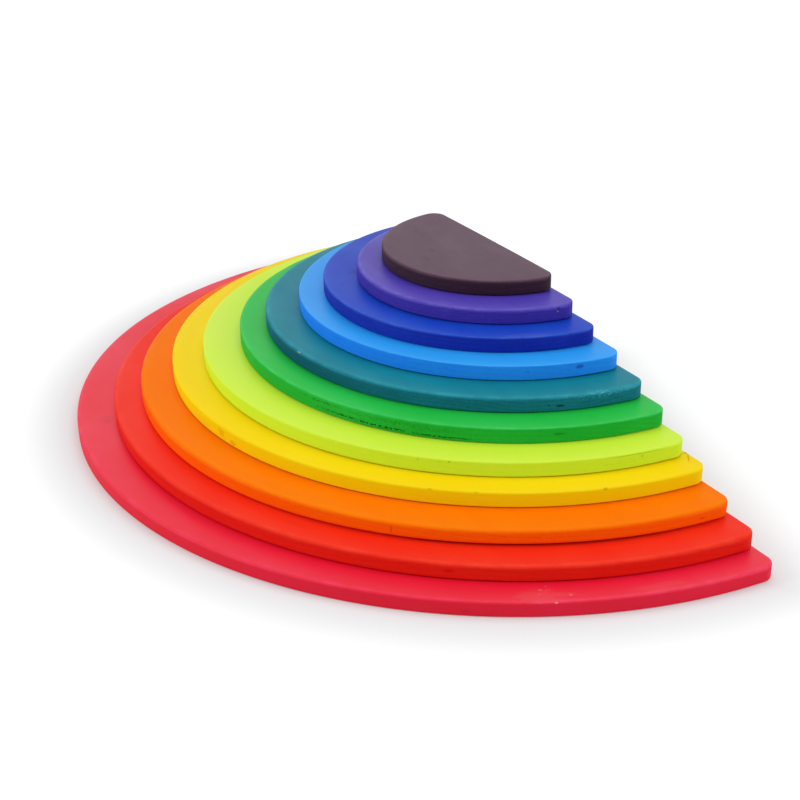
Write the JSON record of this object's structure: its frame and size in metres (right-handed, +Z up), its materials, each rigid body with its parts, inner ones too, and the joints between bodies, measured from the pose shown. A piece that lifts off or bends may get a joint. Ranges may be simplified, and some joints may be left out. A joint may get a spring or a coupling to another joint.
{
  "type": "rainbow stacker",
  "caption": "Stack of loose half-round wooden boards in rainbow stains, largest at the bottom, straight sides in line; each board lifts off for stacking and building.",
  "frame": {"origin": "middle of the stack's footprint, on the underside of the bottom board", "axes": "+X along the straight sides, round sides facing -Y, +Z up through the stack"},
  "size_m": [0.3638, 0.183, 0.069],
  "materials": {
    "crimson_stain": "satin water stain, grain showing",
    "red_stain": "satin water stain, grain showing",
    "orange_stain": "satin water stain, grain showing",
    "yellow_stain": "satin water stain, grain showing",
    "lime_stain": "satin water stain, grain showing",
    "green_stain": "satin water stain, grain showing",
    "teal_stain": "satin water stain, grain showing",
    "sky_blue_stain": "satin water stain, grain showing",
    "blue_stain": "satin water stain, grain showing",
    "violet_stain": "satin water stain, grain showing",
    "aubergine_stain": "satin water stain, grain showing"
  },
  "bodies": {
    "board_01_crimson": {"board_01_crimson": "crimson_stain"},
    "board_02_red": {"board_02_red": "red_stain"},
    "board_03_orange": {"board_03_orange": "orange_stain"},
    "board_04_yellow": {"board_04_yellow": "yellow_stain"},
    "board_05_lime": {"board_05_lime": "lime_stain"},
    "board_06_green": {"board_06_green": "green_stain"},
    "board_07_teal": {"board_07_teal": "teal_stain"},
    "board_08_sky_blue": {"board_08_sky_blue": "sky_blue_stain"},
    "board_09_blue": {"board_09_blue": "blue_stain"},
    "board_10_violet": {"board_10_violet": "violet_stain"},
    "board_11_aubergine": {"board_11_aubergine": "aubergine_stain"}
  },
  "joints": [
    {"name": "lift_02_red", "type": "slide", "parent": "board_01_crimson", "child": "board_02_red", "axis": [0, 0, 1], "range_m": [0, 0.04]},
    {"name": "lift_03_orange", "type": "slide", "parent": "board_02_red", "child": "board_03_orange", "axis": [0, 0, 1], "range_m": [0, 0.04]},
    {"name": "lift_04_yellow", "type": "slide", "parent": "board_03_orange", "child": "board_04_yellow", "axis": [0, 0, 1], "range_m": [0, 0.04]},
    {"name": "lift_05_lime", "type": "slide", "parent": "board_04_yellow", "child": "board_05_lime", "axis": [0, 0, 1], "range_m": [0, 0.04]},
    {"name": "lift_06_green", "type": "slide", "parent": "board_05_lime", "child": "board_06_green", "axis": [0, 0, 1], "range_m": [0, 0.04]},
    {"name": "lift_07_teal", "type": "slide", "parent": "board_06_green", "child": "board_07_teal", "axis": [0, 0, 1], "range_m": [0, 0.04]},
    {"name": "lift_08_sky_blue", "type": "slide", "parent": "board_07_teal", "child": "board_08_sky_blue", "axis": [0, 0, 1], "range_m": [0, 0.04]},
    {"name": "lift_09_blue", "type": "slide", "parent": "board_08_sky_blue", "child": "board_09_blue", "axis": [0, 0, 1], "range_m": [0, 0.04]},
    {"name": "lift_10_violet", "type": "slide", "parent": "board_09_blue", "child": "board_10_violet", "axis": [0, 0, 1], "range_m": [0, 0.04]},
    {"name": "lift_11_aubergine", "type": "slide", "parent": "board_10_violet", "child": "board_11_aubergine", "axis": [0, 0, 1], "range_m": [0, 0.04]}
  ]
}
